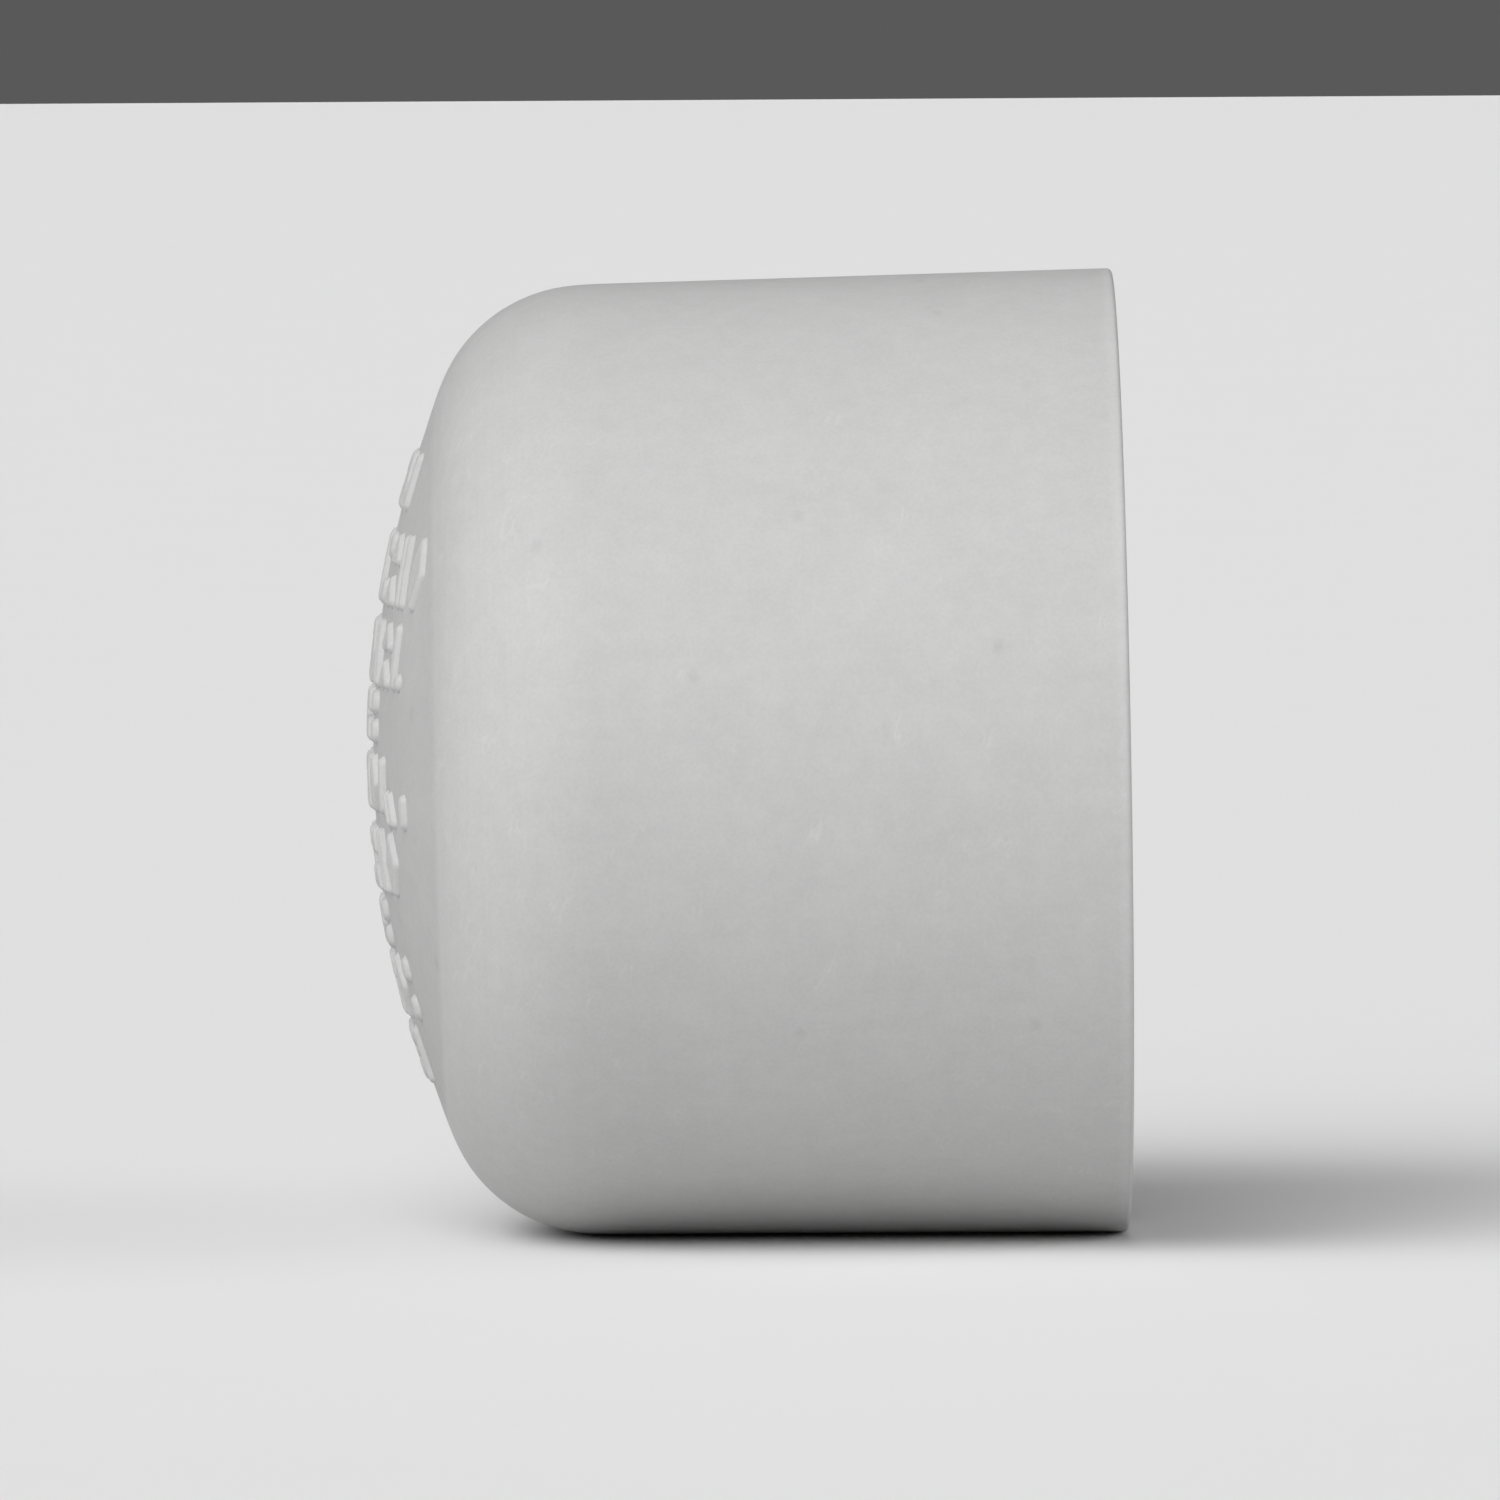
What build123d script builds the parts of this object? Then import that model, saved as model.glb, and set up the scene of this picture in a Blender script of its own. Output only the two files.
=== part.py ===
from build123d import *
import math
import os

# A slip cap for 1 1/2 inch Schedule 40 PVC pipe. It is one injection moulding: a round barrel with a
# plain pipe socket in its open end, a rounded shoulder, and a shallow domed end with raised marks.
# The cap lies on its side: its axis is X, the open mouth is the plane X = 0 and faces +X, the domed
# end points to -X, and the origin is the middle of the mouth. Millimetres and degrees.

# Outside of the moulding
rim_radius = 28.4          # outside of the barrel at the mouth, its widest place
barrel_draft = 0.72        # the barrel narrows by this angle towards the dome, to leave the mould
body_length = 44.0         # mouth to the middle of the dome
dome_radius = 59.4         # spherical radius of the domed end
shoulder_radius = 9.2      # rounding between the barrel and the dome
rim_edge_radius = 0.3      # rounding of the rim's outer edge

# Inside of the moulding
pipe_radius = 24.13        # the pipe that goes in, 1.900 inch across
socket_clearance = 0.04    # round the pipe, half way down the socket
socket_depth = 27.8        # mouth to the ledge that stops the pipe
mouth_chamfer = 0.4        # lead-in at the mouth of the socket
socket_root_radius = 0.4   # rounding of the corner at the foot of the ledge
chamber_radius = 23.0      # the space between the ledge and the dome
dome_wall = 4.9            # thickness of the domed end

# Raised marks on the dome, plain shapes in rows where a maker would mould lettering
mark_height = 0.42         # how far they stand out of the middle of the dome
mark_top_radius = 55.5     # spherical radius over their tops, so they are lower towards the shoulder
mark_width = 2.5
mark_pitch = 3.3           # from one mark to the next along a row

# Each mark is a stroke width and its round-ended strokes. A stroke goes from one point to another,
# and 1 is the mark's edge, across and then up. A stroke of no length is a dot.
marks = {
    "bar": (1.0, [((0, -1), (0, 1))]),
    "diamond": (0.9, [((0, -1), (1, 0)), ((1, 0), (0, 1)), ((0, 1), (-1, 0)), ((-1, 0), (0, -1)),
                      ((0, -0.4), (0, 0.4))]),
    "peaks": (0.7, [((-1, -1), (0, -0.35)), ((0, -0.35), (1, -1)),
                    ((-1, 0.35), (0, 1)), ((0, 1), (1, 0.35))]),
    "slants": (0.7, [((-1, -1), (-0.2, 1)), ((0.2, -1), (1, 1))]),
    "dots": (1.3, [((0, -1), (0, -0.8)), ((0, 0.8), (0, 1))]),
    "dot_by_bar": (1.0, [((-0.9, -1), (-0.9, -1)), ((0.6, -1), (0.6, 1))]),
}

# Each row: its middle across (Y) and up (Z) the dome, how tall it is, and its marks from -Y to +Y
mark_rows = [
    (0.0, 16.8, 3.4, "bar diamond peaks slants dots"),
    (0.0, 11.7, 4.3, "diamond slants peaks dots bar diamond slants dots peaks bar"),
    (0.0, 6.8, 3.9, "dot_by_bar peaks slants diamond dots bar peaks diamond slants"),
    (0.0, 3.1, 3.2, "dots peaks diamond slants bar"),
    (0.0, -0.8, 3.4, "bar diamond slants peaks dots diamond bar"),
    (-13.7, -2.1, 2.1, "bar slants"),
    (0.0, -5.3, 3.8, "diamond slants peaks dots bar diamond slants dots"),
    (0.0, -9.1, 3.0, "dots diamond slants peaks"),
    (0.0, -12.7, 3.8, "dots diamond peaks slants bar diamond dots"),
    (0.4, -16.8, 3.5, "bar dots diamond slants peaks"),
]

socket_radius = pipe_radius + socket_clearance
inner_dome_radius = dome_radius - dome_wall
inner_shoulder_radius = shoulder_radius - dome_wall
dome_centre_depth = body_length - dome_radius
mark_top_centre_depth = body_length + mark_height - mark_top_radius
barrel_end_radius = rim_radius - body_length * math.tan(math.radians(barrel_draft))

# Depth is measured from the mouth towards the dome, along the Z of this plane
mouth = Plane(origin=(0, 0, 0), x_dir=(0, 1, 0), z_dir=(-1, 0, 0))
from_mouth = (Align.CENTER, Align.CENTER, Align.MIN)


def circles(builder):
    """The full circular edges of a round part."""
    return builder.edges().filter_by(GeomType.CIRCLE).filter_by(lambda edge: edge.is_closed)


def draw_stroke(start, end, width):
    """A round-ended stroke from one point to another."""
    run = end - start
    with Locations((start + end) / 2):
        if run.length:
            SlotCenterToCenter(run.length, width, rotation=math.degrees(math.atan2(run.Y, run.X)))
        else:
            Circle(width / 2)


def draw_mark(name, height):
    """One raised mark of this height, round the current location."""
    width, strokes = marks[name]
    reach_across = (mark_width - width) / 2
    reach_up = (height - width) / 2
    for ends in strokes:
        start, end = [Vector(across * reach_across, up * reach_up) for across, up in ends]
        draw_stroke(start, end, width)


# The hollow of the cap, as the solid core that forms it, standing on its mouth end: first the
# chamber under the dome, then the socket
with BuildPart() as mould_core:
    Cylinder(chamber_radius, body_length, align=from_mouth)
    with Locations((0, 0, dome_centre_depth)):
        Sphere(inner_dome_radius, mode=Mode.INTERSECT)
    fillet(circles(mould_core).sort_by(Axis.Z)[-1], radius=inner_shoulder_radius)
    Cylinder(socket_radius, socket_depth, align=from_mouth)
    socket_circles = circles(mould_core).group_by(SortBy.RADIUS)[-1]
    fillet(socket_circles.sort_by(Axis.Z)[-1], radius=socket_root_radius)

# The cap itself: drafted barrel, domed end, rounded shoulder and rim, then the hollow
with BuildPart(mouth) as cap_body:
    Cone(rim_radius, barrel_end_radius, body_length, align=from_mouth)
    with Locations((0, 0, dome_centre_depth)):
        Sphere(dome_radius, mode=Mode.INTERSECT)
    fillet(circles(cap_body).sort_by(Axis.X)[0], radius=shoulder_radius)
    fillet(circles(cap_body).sort_by(Axis.X)[-1], radius=rim_edge_radius)
    add(mould_core.part, mode=Mode.SUBTRACT)
    mouth_circles = circles(cap_body).group_by(Axis.X)[-1]
    chamfer(mouth_circles.sort_by(SortBy.RADIUS)[0], length=mouth_chamfer)
cap_body.part.label = "cap_body"

# The raised marks: their outlines pushed through the dome, then cut to the thin shell outside it
with BuildPart() as raised_marks:
    with BuildSketch(Plane.YZ.offset(-body_length - 2 * mark_height)):
        for row_y, row_z, height, names in mark_rows:
            row_marks = names.split()
            for place, name in enumerate(row_marks):
                mark_y = row_y + (place - (len(row_marks) - 1) / 2) * mark_pitch
                with Locations((mark_y, row_z)):
                    draw_mark(name, height)
    extrude(amount=body_length / 4)
    with Locations((-mark_top_centre_depth, 0, 0)):
        Sphere(mark_top_radius, mode=Mode.INTERSECT)
    with Locations((-dome_centre_depth, 0, 0)):
        Sphere(dome_radius, mode=Mode.SUBTRACT)
raised_marks.part.label = "raised_marks"

os.makedirs("parts", exist_ok=True)
export_step(cap_body.part, "parts/cap_body.step")
export_step(raised_marks.part, "parts/raised_marks.step")

# What a user of the part may want to know
plastic_volume = cap_body.part.volume + raised_marks.part.volume
print("plastic", round(plastic_volume, 1), "cubic millimetres")
print("marks", len(raised_marks.part.solids()))
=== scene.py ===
import math

import bpy
from mathutils import Matrix, Vector


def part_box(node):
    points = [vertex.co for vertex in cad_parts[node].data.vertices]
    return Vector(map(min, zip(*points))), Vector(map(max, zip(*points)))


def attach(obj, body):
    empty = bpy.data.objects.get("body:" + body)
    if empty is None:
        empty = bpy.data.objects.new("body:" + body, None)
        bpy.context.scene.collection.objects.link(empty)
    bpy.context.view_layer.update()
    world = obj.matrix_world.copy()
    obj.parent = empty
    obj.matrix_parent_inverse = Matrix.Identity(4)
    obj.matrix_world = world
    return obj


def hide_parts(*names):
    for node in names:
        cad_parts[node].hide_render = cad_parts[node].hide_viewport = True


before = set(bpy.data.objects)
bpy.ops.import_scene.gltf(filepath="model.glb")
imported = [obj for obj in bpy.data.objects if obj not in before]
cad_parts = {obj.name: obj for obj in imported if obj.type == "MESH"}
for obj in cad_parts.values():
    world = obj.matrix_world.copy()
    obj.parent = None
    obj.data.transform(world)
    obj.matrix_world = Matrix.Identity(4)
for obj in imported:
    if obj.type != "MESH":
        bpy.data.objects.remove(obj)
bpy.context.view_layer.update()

# The pipe cap lies on its side: its axis is X, its open mouth is the plane x = 0 and faces +X, and its
# dome points to -X. Shapes are worked out in millimetres and become metres as they are built.
MM = 0.001

cap_low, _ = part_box("cap_body")
marks_low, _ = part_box("raised_marks")

# ---------------------------------------------------------------- sizes of the moulding, in millimetres
BODY_LENGTH = -cap_low.x / MM
RIM_RADIUS = 28.4
RIM_EDGE_RADIUS = 0.3
BARREL_DRAFT = math.radians(0.72)
DOME_RADIUS = 59.4
SHOULDER_RADIUS = 9.2
SOCKET_RADIUS = 24.17
SOCKET_DEPTH = 27.8
SOCKET_ROOT_RADIUS = 0.4
MOUTH_CHAMFER = 0.4
CHAMFER_EDGE_RADIUS = 0.08
BORE_EDGE_RADIUS = 0.15
LEDGE_EDGE_RADIUS = 0.15
CHAMBER_RADIUS = 23.0
DOME_WALL = 4.9
MARK_HEIGHT = (cap_low.x - marks_low.x) / MM
MARK_TOP_RADIUS = 55.5

DOME_CENTRE_X = DOME_RADIUS - BODY_LENGTH

# The dome is a little hollow near its edge, compared with the sphere
HOLLOW_DEPTH = 0.10
HOLLOW_RADIUS = 19.3        # how far from the axis it is deepest
HOLLOW_REACH = 2.8

FLOW_REACH = 1.5            # half the length over which one bend flows into the next
FLOW_STEP = 0.25
WALL_START = -25.0          # from this x on the outline is straight, up to the rim

# How far apart the points of the outline are
BEND_STEP = 0.25
DOME_STEP = 0.35
EDGE_STEP = 0.06
STRAIGHT_STEP = 1.2

TURNS = 288                 # steps round the axis


# ---------------------------------------------------------------- profile of the moulding
def arc(centre, radius, start, end, step=BEND_STEP):
    """Points along an arc of the (x, r) profile, angles in radians, about step millimetres apart."""
    count = max(4, math.ceil(abs(end - start) * radius / step))
    angles = [start + (end - start) * i / count for i in range(count + 1)]
    return [(centre[0] + radius * math.cos(a), centre[1] + radius * math.sin(a)) for a in angles]


def straight(start, end):
    """Points along a straight run, closer together towards its ends so that the corners stay crisp."""
    run = math.dist(start, end)
    count = max(4, math.ceil(run / STRAIGHT_STEP))
    shares = [(1 - math.cos(math.pi * i / count)) / 2 for i in range(count + 1)]
    return [(start[0] + (end[0] - start[0]) * s, start[1] + (end[1] - start[1]) * s) for s in shares]


def domed_end(dome_radius, wall_radius, draft, corner_radius):
    """The dome from the axis outwards, and the corner that turns it into the wall.

    The wall is wall_radius from the axis at x = 0 and narrows by draft towards the dome. Returns the
    points, which end where the wall begins.
    """
    slope = math.tan(draft)
    inner = wall_radius - corner_radius / math.cos(draft)
    reach = dome_radius - corner_radius
    # the corner's centre is `reach` from the dome's centre and on the wall's line moved in by its radius
    a = 1 + slope * slope
    b = 2 * (inner * slope - DOME_CENTRE_X)
    c = DOME_CENTRE_X ** 2 + inner ** 2 - reach ** 2
    corner_x = (-b - math.sqrt(b * b - 4 * a * c)) / (2 * a)
    corner = (corner_x, inner + corner_x * slope)
    joint = math.atan2(corner[1], corner[0] - DOME_CENTRE_X)
    dome = arc((DOME_CENTRE_X, 0.0), dome_radius, math.pi, joint, DOME_STEP)
    return dome + arc(corner, corner_radius, joint, math.pi / 2 + draft)[1:]


def rounded(corners):
    """A run through corners (x, r, radius), each rounded, from the first point to the last."""
    points = [corners[0][:2]]
    for before, corner, after in zip(corners, corners[1:], corners[2:]):
        here = Vector(corner[:2])
        back = (Vector(before[:2]) - here).normalized()
        ahead = (Vector(after[:2]) - here).normalized()
        half = back.angle(ahead) / 2
        set_back = corner[2] / math.tan(half)
        centre = here + (back + ahead).normalized() * (corner[2] / math.sin(half))
        start = here + back * set_back - centre
        end = here + ahead * set_back - centre
        turn = start.angle_signed(end)
        first = math.atan2(start.y, start.x)
        bend = arc(centre, corner[2], first, first - turn, EDGE_STEP)
        points += straight(points[-1], bend[0])[1:] + bend[1:]
    return points + straight(points[-1], corners[-1][:2])[1:]


def flowing(points):
    """The same run, evenly spaced, with each point moved to the middle of the stretch round it. The
    bends then flow into each other, as on a polished mould. The run starts on the axis, and loses the
    reach of the flow at its other end."""
    lengths = [0.0]
    for before, after in zip(points, points[1:]):
        lengths.append(lengths[-1] + math.dist(before, after))
    count = round(lengths[-1] / FLOW_STEP)
    even = []
    place = 0
    for i in range(count + 1):
        along = lengths[-1] * i / count
        while place < len(points) - 2 and lengths[place + 1] < along:
            place += 1
        share = (along - lengths[place]) / (lengths[place + 1] - lengths[place])
        even.append(Vector(points[place]).lerp(Vector(points[place + 1]), share))
    reach = round(FLOW_REACH / FLOW_STEP)
    mirrored = [Vector((p.x, -p.y)) for p in even[reach:0:-1]] + even
    flowed = []
    for i in range(count + 1 - reach):
        stretch = mirrored[i:i + 2 * reach + 1]
        flowed.append(sum(stretch, Vector((0, 0))) / len(stretch))
    return [(p.x, max(0.0, p.y)) for p in flowed]


def moulding_profile():
    """The whole outline from the outer tip of the dome round the rim to the inner tip, and the number
    of its point on the chamfer where the inside begins."""
    outside = domed_end(DOME_RADIUS, RIM_RADIUS, BARREL_DRAFT, SHOULDER_RADIUS)
    outside += straight(outside[-1], (0.0, RIM_RADIUS))[1:]
    outside = [hollowed(x, r) for x, r in flowing(outside) if x < WALL_START]
    chamber = domed_end(DOME_RADIUS - DOME_WALL, CHAMBER_RADIUS, 0.0, SHOULDER_RADIUS - DOME_WALL)
    chamber.reverse()
    wall = rounded([
        (*outside[-1], 0),
        (0.0, RIM_RADIUS, RIM_EDGE_RADIUS),
        (0.0, SOCKET_RADIUS + MOUTH_CHAMFER, CHAMFER_EDGE_RADIUS),
        (-MOUTH_CHAMFER, SOCKET_RADIUS, BORE_EDGE_RADIUS),
        (-SOCKET_DEPTH, SOCKET_RADIUS, SOCKET_ROOT_RADIUS),
        (-SOCKET_DEPTH, CHAMBER_RADIUS, LEDGE_EDGE_RADIUS),
        (*chamber[0], 0),
    ])
    inside_from = len(outside) + sum(1 for _, r in wall if r > SOCKET_RADIUS + MOUTH_CHAMFER / 2)
    return outside + wall[1:] + chamber[1:], inside_from


def hollow(r):
    """How far the dome's surface lies under its sphere, this far from the axis."""
    return HOLLOW_DEPTH * math.exp(-((r - HOLLOW_RADIUS) / HOLLOW_REACH) ** 2)


def hollowed(x, r):
    """Moves a point of the dome inwards by the hollow near its edge."""
    inwards = Vector((DOME_CENTRE_X - x, -r)).normalized() * hollow(r)
    return x + inwards.x, r + inwards.y


def lathe(name, profile, inside_from):
    """A closed surface of revolution about X, from a profile that starts and ends on the axis. Its faces
    from the profile's point inside_from on take the second material."""
    vertices = [(profile[0][0] * MM, 0.0, 0.0)]
    for x, r in profile[1:-1]:
        for turn in range(TURNS):
            angle = math.tau * turn / TURNS
            vertices.append((x * MM, r * MM * math.cos(angle), r * MM * math.sin(angle)))
    vertices.append((profile[-1][0] * MM, 0.0, 0.0))
    rings = len(profile) - 2
    last = len(vertices) - 1
    faces = [(0, 1 + turn, 1 + (turn + 1) % TURNS) for turn in range(TURNS)]
    for ring in range(rings - 1):
        here, there = 1 + ring * TURNS, 1 + (ring + 1) * TURNS
        for turn in range(TURNS):
            following = (turn + 1) % TURNS
            faces.append((here + turn, there + turn, there + following, here + following))
    here = 1 + (rings - 1) * TURNS
    faces += [(here + turn, last, here + (turn + 1) % TURNS) for turn in range(TURNS)]
    piece = make_mesh(name, vertices, faces)
    for face in piece.data.polygons[inside_from * TURNS:]:
        face.material_index = 1
    return piece


def make_mesh(name, vertices, faces):
    mesh = bpy.data.meshes.new(name)
    mesh.from_pydata(vertices, [], faces)
    mesh.shade_smooth()
    mesh.update()
    piece = bpy.data.objects.new(name, mesh)
    bpy.context.collection.objects.link(piece)
    return piece


# ---------------------------------------------------------------- raised marks on the dome
MARK_WIDTH = 2.5
MARK_PITCH = 3.3

# Each mark is a stroke width and its round-ended strokes, from point to point. 1 is the mark's edge,
# across and then up. A stroke of no length is a dot. The short strokes of a diamond fill its middle.
MARKS = {
    "bar": (1.0, [((0, -1), (0, 1))]),
    "diamond": (0.9, [((0, -1), (1, 0)), ((1, 0), (0, 1)), ((0, 1), (-1, 0)), ((-1, 0), (0, -1)),
                      ((0, -0.4), (0, 0.4)), ((-0.5, -0.1), (-0.5, 0.1)), ((0.5, -0.1), (0.5, 0.1))]),
    "peaks": (0.7, [((-1, -1), (0, -0.35)), ((0, -0.35), (1, -1)),
                    ((-1, 0.35), (0, 1)), ((0, 1), (1, 0.35))]),
    "slants": (0.7, [((-1, -1), (-0.2, 1)), ((0.2, -1), (1, 1))]),
    "dots": (1.3, [((0, -1), (0, -0.8)), ((0, 0.8), (0, 1))]),
    "dot_by_bar": (1.0, [((-0.9, -1), (-0.9, -1)), ((0.6, -1), (0.6, 1))]),
}

# Each row: its middle across (Y) and up (Z) the dome, how tall it is, and its marks from -Y to +Y
MARK_ROWS = [
    (0.0, 16.8, 3.4, "bar diamond peaks slants dots"),
    (0.0, 11.7, 4.3, "diamond slants peaks dots bar diamond slants dots peaks bar"),
    (0.0, 6.8, 3.9, "dot_by_bar peaks slants diamond dots bar peaks diamond slants"),
    (0.0, 3.1, 3.2, "dots peaks diamond slants bar"),
    (0.0, -0.8, 3.4, "bar diamond slants peaks dots diamond bar"),
    (-13.7, -2.1, 2.1, "bar slants"),
    (0.0, -5.3, 3.8, "diamond slants peaks dots bar diamond slants dots"),
    (0.0, -9.1, 3.0, "dots diamond slants peaks"),
    (0.0, -12.7, 3.8, "dots diamond peaks slants bar diamond dots"),
    (0.4, -16.8, 3.5, "bar dots diamond slants peaks"),
]

GRID = 0.091                # spacing of a mark's mesh
ROOT = 0.08                 # the flank of a stroke starts this far outside it
ROOT_DEPTH = 0.02           # the edge of a mark lies this far under the dome, and its underside further
UNDERSIDE = 0.12
CROWN = 0.56                # a stroke rises to its full height this far inside its root
ROUND_FROM = 0.35           # the share of that way after which its section is all round
SNAP_OUT = 0.35             # a point at most this share of a row inside an outer row moves out onto it


def nearest_stroke(point, strokes, half_width):
    """How far inside the nearest stroke a point is, and the way towards that stroke's middle line."""
    best = None
    for start, end in strokes:
        run = end - start
        length_squared = run.length_squared
        share = 0.0
        if length_squared:
            share = min(1.0, max(0.0, (point - start).dot(run) / length_squared))
        inwards = start + run * share - point
        inside = half_width - inwards.length
        if best is None or inside > best[0]:
            best = (inside, inwards)
    return best


def relief(inside, point):
    """Height of a mark's surface over the sphere at this point, which is this far inside a stroke: a soft
    root, then a round top. The marks are lower towards the edge of the dome."""
    top = MARK_HEIGHT - point.length_squared / 2 * (1 / MARK_TOP_RADIUS - 1 / DOME_RADIUS)
    share = min(1.0, max(0.0, (inside + ROOT) / CROWN))
    soft_root = share * share * (3 - 2 * share)
    round_top = math.sqrt(1 - (1 - share) ** 2)
    rise = soft_root + (round_top - soft_root) * min(1.0, share / ROUND_FROM)
    edge = -ROOT_DEPTH - hollow(point.length)
    return edge + (top - edge) * rise


def on_dome(y, z, height):
    """The point this high over the sphere of the dome, above the place (y, z) on it."""
    x = DOME_CENTRE_X - math.sqrt(DOME_RADIUS ** 2 - y * y - z * z)
    away = Vector((x - DOME_CENTRE_X, y, z)).normalized() * height
    return (x + away.x) * MM, (y + away.y) * MM, (z + away.z) * MM


def add_mark(name, middle, height, vertices, faces):
    """Adds one mark's closed mesh: a grid over its strokes, whose two outer rows follow their outline."""
    width, shape = MARKS[name]
    half = Vector(((MARK_WIDTH - width) / 2, (height - width) / 2))
    strokes = [tuple(Vector(end) * half for end in ends) for ends in shape]
    columns = math.ceil((MARK_WIDTH / 2 + 2 * ROOT) / GRID)
    rows = math.ceil((height / 2 + 2 * ROOT) / GRID)
    top = {}
    for i in range(-columns, columns + 1):
        for j in range(-rows, rows + 1):
            point = Vector((i * GRID, j * GRID))
            inside, inwards = nearest_stroke(point, strokes, width / 2)
            line = math.floor((inside + ROOT) / GRID + 1 - SNAP_OUT)
            if line < 2:
                snapped = max(0, line) * GRID - ROOT
                point += inwards.normalized() * (snapped - inside)
                inside = snapped
            top[i, j] = (point + middle, inside, line < 1)
    number = {}

    def corner(key):
        if key not in number:
            number[key] = len(vertices)
            point, inside, _ = top[key]
            vertices.append(on_dome(point.x, point.y, relief(inside, point)))
            vertices.append(on_dome(point.x, point.y, -UNDERSIDE - hollow(point.length)))
        return number[key]

    edges = set()
    for i in range(-columns, columns):
        for j in range(-rows, rows):
            keys = [(i, j), (i, j + 1), (i + 1, j + 1), (i + 1, j)]
            if all(top[key][2] for key in keys):
                continue
            loop = [corner(key) for key in keys]
            faces.append(loop)
            faces.append([v + 1 for v in reversed(loop)])
            edges.update(zip(loop, loop[1:] + loop[:1]))
    for start, end in edges:
        if (end, start) not in edges:
            faces.append([end, start, start + 1, end + 1])


def build_marks():
    vertices, faces = [], []
    for row_y, row_z, height, names in MARK_ROWS:
        row_marks = names.split()
        for place, name in enumerate(row_marks):
            middle = Vector((row_y + (place - (len(row_marks) - 1) / 2) * MARK_PITCH, row_z))
            add_mark(name, middle, height, vertices, faces)
    return make_mesh("mark_relief", vertices, faces)


# ---------------------------------------------------------------- materials
# The range in which nearly all of a noise lies
NOISE_LOW = 0.3
NOISE_HIGH = 0.7


class Nodes:
    """Short calls for building a node tree."""

    def __init__(self, name):
        self.material = bpy.data.materials.new(name)
        self.material.use_nodes = True
        self.tree = self.material.node_tree
        self.tree.nodes.clear()

    def add(self, kind, inputs=None, **settings):
        node = self.tree.nodes.new(kind)
        for key, value in settings.items():
            setattr(node, key, value)
        for key, value in (inputs or {}).items():
            if isinstance(value, bpy.types.NodeSocket):
                self.tree.links.new(value, node.inputs[key])
            else:
                node.inputs[key].default_value = value
        return node

    def noise(self, place, scale, detail=2.0, roughness=0.5):
        inputs = {"Vector": place, "Scale": scale, "Detail": detail, "Roughness": roughness}
        return self.add("ShaderNodeTexNoise", inputs).outputs["Fac"]

    def stretch(self, place, scale):
        return self.add("ShaderNodeVectorMath", {0: place, 1: scale}, operation="MULTIPLY").outputs["Vector"]

    def ramp(self, factor, low, high, from_low=0.0, from_high=1.0):
        """Goes from low to high while the factor goes from from_low to from_high, and stays there."""
        inputs = {
            "Value": factor,
            "From Min": from_low,
            "From Max": from_high,
            "To Min": low,
            "To Max": high,
        }
        return self.add("ShaderNodeMapRange", inputs).outputs["Result"]

    def math(self, operation, a, b):
        return self.add("ShaderNodeMath", {0: a, 1: b}, operation=operation).outputs["Value"]

    def region(self, value, limits):
        """0 up to the first limit and 1 from the second one on, whichever of the two is larger."""
        begins, complete = limits
        if begins < complete:
            return self.ramp(value, 0.0, 1.0, begins, complete)
        return self.ramp(value, 1.0, 0.0, complete, begins)

    def swing(self, noise, reach, middle=0.0):
        """A noise made to swing this far to both sides of a middle value."""
        return self.ramp(noise, middle - reach, middle + reach, NOISE_LOW, NOISE_HIGH)

    def scaled(self, value, factor):
        return self.math("MULTIPLY", value, factor)

    def total(self, first, *others):
        for other in others:
            first = self.math("ADD", first, other)
        return first

    def bump(self, height, distance, normal=None):
        inputs = {"Height": height, "Distance": distance}
        if normal is not None:
            inputs["Normal"] = normal
        return self.add("ShaderNodeBump", inputs).outputs["Normal"]

    def finish(self, inputs):
        """Ends the material with one surface shader."""
        shader = self.add("ShaderNodeBsdfPrincipled", inputs)
        output = self.add("ShaderNodeOutputMaterial")
        self.tree.links.new(shader.outputs["BSDF"], output.inputs["Surface"])
        return self.material


PVC_GREY = (0.46, 0.46, 0.458)
PVC_IOR = 1.53
PVC_SPECULAR = 0.16

# How fine each texture is, as the scale of its noise over metres
WAVE_SCALE = 90.0
MOTTLE_SCALE = 220.0
SPECK_SCALE = 300.0
WEAR_SCALE = 420.0
BLOTCH_SCALE = 900.0
STREAK_SCALE = 1300.0
NICK_SCALE = 1400.0
POLISH_SCALE = 3500.0
GRAIN_SCALE = 4500.0

# How far each texture stands out of the surface, in metres
WAVE_HEIGHT = 0.00002
POLISH_HEIGHT = 0.0000015
GRAIN_HEIGHT = 0.000005

# Where each region begins and where it is complete, in metres along x or from the axis
SHOULDER_X = (-0.028, -0.038)
SHOULDER_RADII = (0.0195, 0.021)
# where the painted light at the rim begins and where it is complete
PAINTED_RIM_LIGHT_X = (-0.0009, -0.0005)
DOME_FACE_RADII = (0.0216, 0.0209)
DOME_FACE_X = (-0.035, -0.036)

# The same for specks and nicks, on the values that place them
SPECK_CHOICE = (0.60, 0.66)
SPECK_EDGE = (0.14, 0.05)
NICK_EDGE = (0.03, 0.0)
WORN = (0.62, 0.72)
SHOULDER_WEAR = 0.09        # how much more the shoulder is worn


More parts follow.
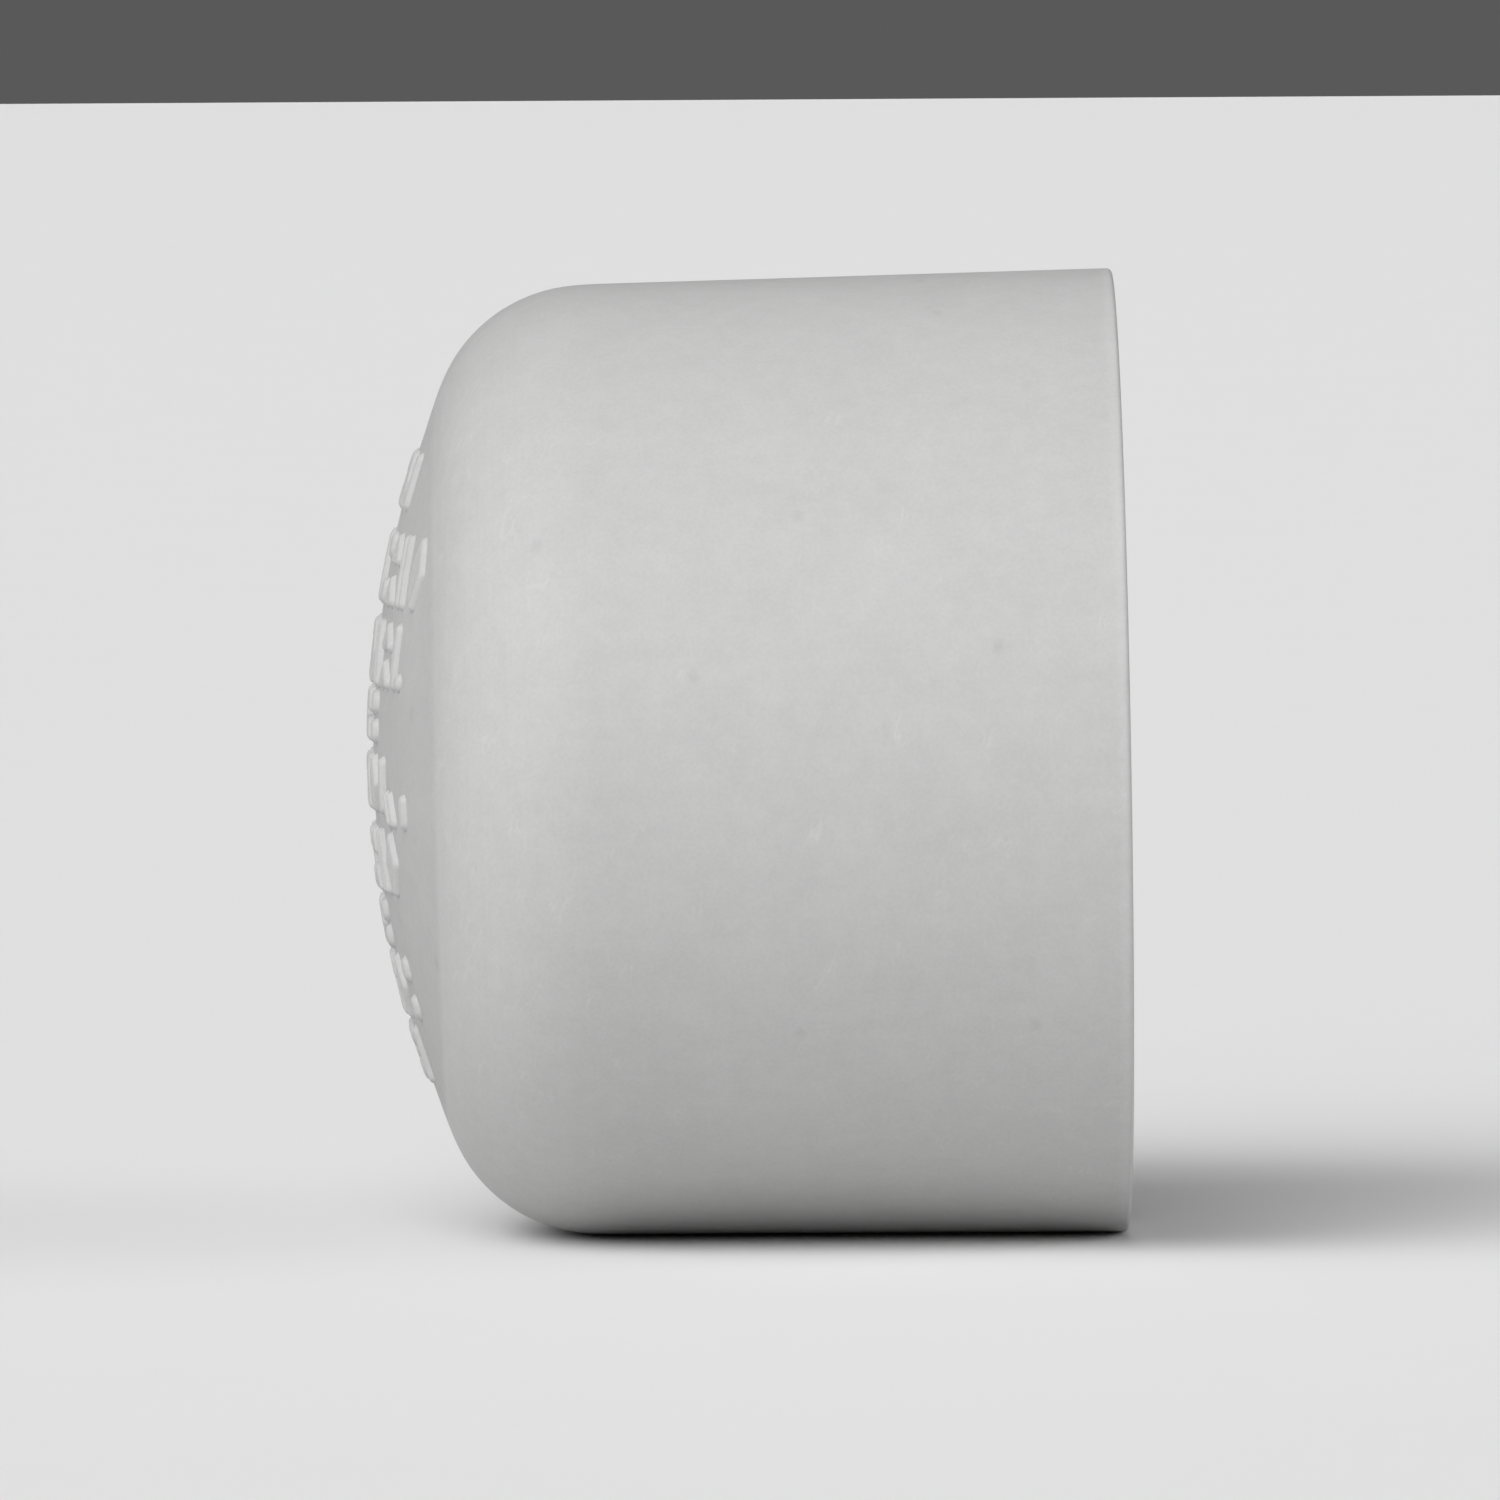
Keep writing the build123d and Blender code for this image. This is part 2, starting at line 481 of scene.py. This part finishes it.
def pvc(name, roughness, streak_squeeze, dark_dome_face=False):
    """Moulded PVC, a dull grey. It has a fine grain, soft blotches, faint streaks along the way it left
    the mould, polishing lines round the shoulder, a few dark specks, and short light nicks, most of them
    on the shoulder. The last millimetre at the rim has painted light: it is painted a little lighter. The
    face of the dome is darker and rougher up to a fairly sharp edge. The less
    streak_squeeze is, the longer the streaks are."""
    n = Nodes(name)
    place = n.add("ShaderNodeTexCoord").outputs["Object"]
    x = n.add("ShaderNodeSeparateXYZ", {0: place}).outputs["X"]
    across = n.stretch(place, (0.0, 1.0, 1.0))
    radius = n.add("ShaderNodeVectorMath", {0: across}, operation="LENGTH").outputs["Value"]
    section = n.add("ShaderNodeCombineXYZ", {0: x, 1: radius}).outputs["Vector"]
    shoulder = n.math("MULTIPLY", n.region(x, SHOULDER_X), n.region(radius, SHOULDER_RADII))

    mottle = n.noise(place, MOTTLE_SCALE, 3.0)
    blotch = n.noise(place, BLOTCH_SCALE)
    grain = n.noise(place, GRAIN_SCALE)
    streak = n.noise(n.stretch(place, (streak_squeeze, 1.0, 1.0)), STREAK_SCALE, 2.0, 0.6)
    polish = n.math("MULTIPLY", n.ramp(n.noise(section, POLISH_SCALE), -1.0, 1.0, 0.25, 0.75), shoulder)

    # a speck is the middle of a cell, in the cells that are chosen by their random colour
    cell_inputs = {"Vector": n.stretch(place, (1.0, 1.0, 0.7)), "Scale": SPECK_SCALE}
    cells = n.add("ShaderNodeTexVoronoi", cell_inputs).outputs
    chosen = n.region(cells["Color"], SPECK_CHOICE)
    speck = n.math("MULTIPLY", n.region(cells["Distance"], SPECK_EDGE), chosen)

    # a nick is a stretch of a contour line of one noise, where another noise says that it is worn
    tilt = {"Vector": place, "Rotation": (0.5, 0.4, 0.0), "Scale": (1.0, 3.5, 3.5)}
    tilted = n.add("ShaderNodeMapping", tilt, vector_type="TEXTURE").outputs["Vector"]
    off_line = n.math("ABSOLUTE", n.math("SUBTRACT", n.noise(tilted, NICK_SCALE, 1.0), 0.5), 0.0)
    wear = n.math("ADD", n.noise(place, WEAR_SCALE, 1.0), n.scaled(shoulder, SHOULDER_WEAR))
    nick = n.math("MULTIPLY", n.region(off_line, NICK_EDGE), n.region(wear, WORN))

    # the face of the dome is darker and rougher, up to a fairly sharp edge
    dome_face_mask = 0.0
    if dark_dome_face:
        dome_face_mask = n.math("MULTIPLY", n.region(radius, DOME_FACE_RADII), n.region(x, DOME_FACE_X))

    tone = n.total(
        n.swing(mottle, 0.016, 1.0),
        n.swing(blotch, 0.018),
        n.swing(grain, 0.028),
        n.swing(streak, 0.008),
        n.scaled(polish, 0.014),
        n.scaled(speck, -0.08),
        n.scaled(nick, 0.07),
        # painted light: the last millimetre at the rim is painted a little lighter, as if lit from the side
        n.scaled(n.region(x, PAINTED_RIM_LIGHT_X), 0.04),
        n.scaled(dome_face_mask, -0.075),
    )
    rough = n.total(
        n.swing(streak, 0.04, roughness),
        n.scaled(nick, 0.1),
        n.scaled(dome_face_mask, 0.12),
    )
    colour = n.add("ShaderNodeVectorMath", {0: PVC_GREY, "Scale": tone}, operation="SCALE").outputs["Vector"]
    waves = n.bump(n.noise(place, WAVE_SCALE, 1.0), WAVE_HEIGHT)
    lines = n.bump(polish, POLISH_HEIGHT, waves)
    return n.finish({
        "Base Color": colour,
        "Roughness": rough,
        "Normal": n.bump(grain, GRAIN_HEIGHT, lines),
        "IOR": PVC_IOR,
        "Specular IOR Level": PVC_SPECULAR,
    })


FLOOR_TONES = (0.785, 0.795)
FLOOR_NOISE_SCALE = 40.0


def floor_material():
    """A plain pale studio surface, very faintly uneven in tone."""
    n = Nodes("studio_floor")
    place = n.add("ShaderNodeTexCoord").outputs["Object"]
    tone = n.ramp(n.noise(place, FLOOR_NOISE_SCALE), *FLOOR_TONES)
    colour = n.add("ShaderNodeCombineColor", {"Red": tone, "Green": tone, "Blue": tone}).outputs["Color"]
    return n.finish({"Base Color": colour, "Roughness": 0.9, "Specular IOR Level": 0.1})


# ---------------------------------------------------------------- the cap
def build_cap():
    profile, inside_from = moulding_profile()
    cap = lathe("cap_moulding", profile, inside_from)
    cap.data.materials.append(pvc("pvc_outside", roughness=0.52, streak_squeeze=0.06, dark_dome_face=True))
    cap.data.materials.append(pvc("pvc_bore", roughness=0.40, streak_squeeze=0.03))
    return cap


cap = build_cap()
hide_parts("cap_body")
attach(cap, "root")

marks = build_marks()
marks.data.materials.append(pvc("pvc_marks", roughness=0.48, streak_squeeze=1.0))
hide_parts("raised_marks")
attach(marks, "root")


# ---------------------------------------------------------------- floor, light and camera
FLOOR_HALF = 6.0            # half the floor's width, in metres
FLOOR_GAP = 0.01            # the floor stays this far below the barrel, in millimetres


def build_floor():
    """The barrel rests on the floor along its lowest line, so the floor leans by the barrel's draft."""
    corners = [(-FLOOR_HALF, -FLOOR_HALF, 0), (FLOOR_HALF, -FLOOR_HALF, 0),
               (FLOOR_HALF, FLOOR_HALF, 0), (-FLOOR_HALF, FLOOR_HALF, 0)]
    mesh = bpy.data.meshes.new("studio_floor")
    mesh.from_pydata(corners, [], [(0, 1, 2, 3)])
    floor = bpy.data.objects.new("studio_floor", mesh)
    bpy.context.collection.objects.link(floor)
    floor.location = (0, 0, -(RIM_RADIUS + FLOOR_GAP) * MM)
    floor.rotation_euler = (0, BARREL_DRAFT, 0)
    mesh.materials.append(floor_material())


def aim(thing, target, roll=0.0):
    """Turns a camera or light towards a point, then rolls it about its own line of view."""
    way = Vector(target) - thing.location
    turn = way.to_track_quat("-Z", "Y")
    thing.rotation_euler = (turn.to_matrix() @ Matrix.Rotation(roll, 3, "Z")).to_euler()


LIGHT_SPREAD = math.radians(50.0)
WORLD_STRENGTH = 0.10


def soft_light(name, azimuth, elevation, strength):
    """A wide soft light far away, on the side of the cap at this azimuth (0 is -Y, 90 is +X) and
    elevation, both in degrees. It lights the whole floor evenly."""
    data = bpy.data.lights.new(name, "SUN")
    data.angle = LIGHT_SPREAD
    data.energy = strength
    light = bpy.data.objects.new(name, data)
    bpy.context.collection.objects.link(light)
    a, e = math.radians(azimuth), math.radians(elevation)
    light.location = (math.sin(a) * math.cos(e), -math.cos(a) * math.cos(e), math.sin(e))
    aim(light, (0, 0, 0))


build_floor()

# Name, azimuth, elevation and strength of each light
STUDIO_LIGHTS = [
    ("key_light", -24.0, 36.0, 1.91),
    ("left_key_light", -52.0, 35.0, 1.12),
    ("upper_left_light", -40.0, 60.0, 0.38),
    ("top_left_light", -65.0, 60.0, 0.10),
    ("right_fill_light", 80.0, 18.0, 1.02),
    ("back_light", 180.0, 60.0, 0.18),
    ("back_right_light", 130.0, 40.0, 0.10),
]
for light_name, azimuth, elevation, strength in STUDIO_LIGHTS:
    soft_light(light_name, azimuth, elevation, strength)

world = bpy.data.worlds.new("studio")
world.use_nodes = True
background = world.node_tree.nodes["Background"]
background.inputs["Color"].default_value = (1.0, 1.0, 1.0, 1.0)
background.inputs["Strength"].default_value = WORLD_STRENGTH
bpy.context.scene.world = world
bpy.context.scene.view_settings.view_transform = "Standard"


FRAME_WIDTH = 88.47         # how much of the cap's middle plane the picture spans
CAMERA_TARGET = (-21.8, 0.0, 0.38)
CAMERA_DISTANCE = 930.0
CAMERA_RISE = math.radians(3.0)
CAMERA_ROLL = math.radians(-1.05)


def build_camera():
    """A camera square to the cap's axis and a little above it, about a metre away."""
    target = Vector(CAMERA_TARGET) * MM
    back = CAMERA_DISTANCE * MM * math.cos(CAMERA_RISE)
    up = CAMERA_DISTANCE * MM * math.sin(CAMERA_RISE)
    data = bpy.data.cameras.new("camera")
    data.angle = 2 * math.atan(FRAME_WIDTH / 2 / CAMERA_DISTANCE)
    data.clip_end = 100.0
    camera = bpy.data.objects.new("camera", data)
    bpy.context.collection.objects.link(camera)
    camera.location = (target.x, -back, target.z + up)
    aim(camera, target, CAMERA_ROLL)
    bpy.context.scene.camera = camera


build_camera()
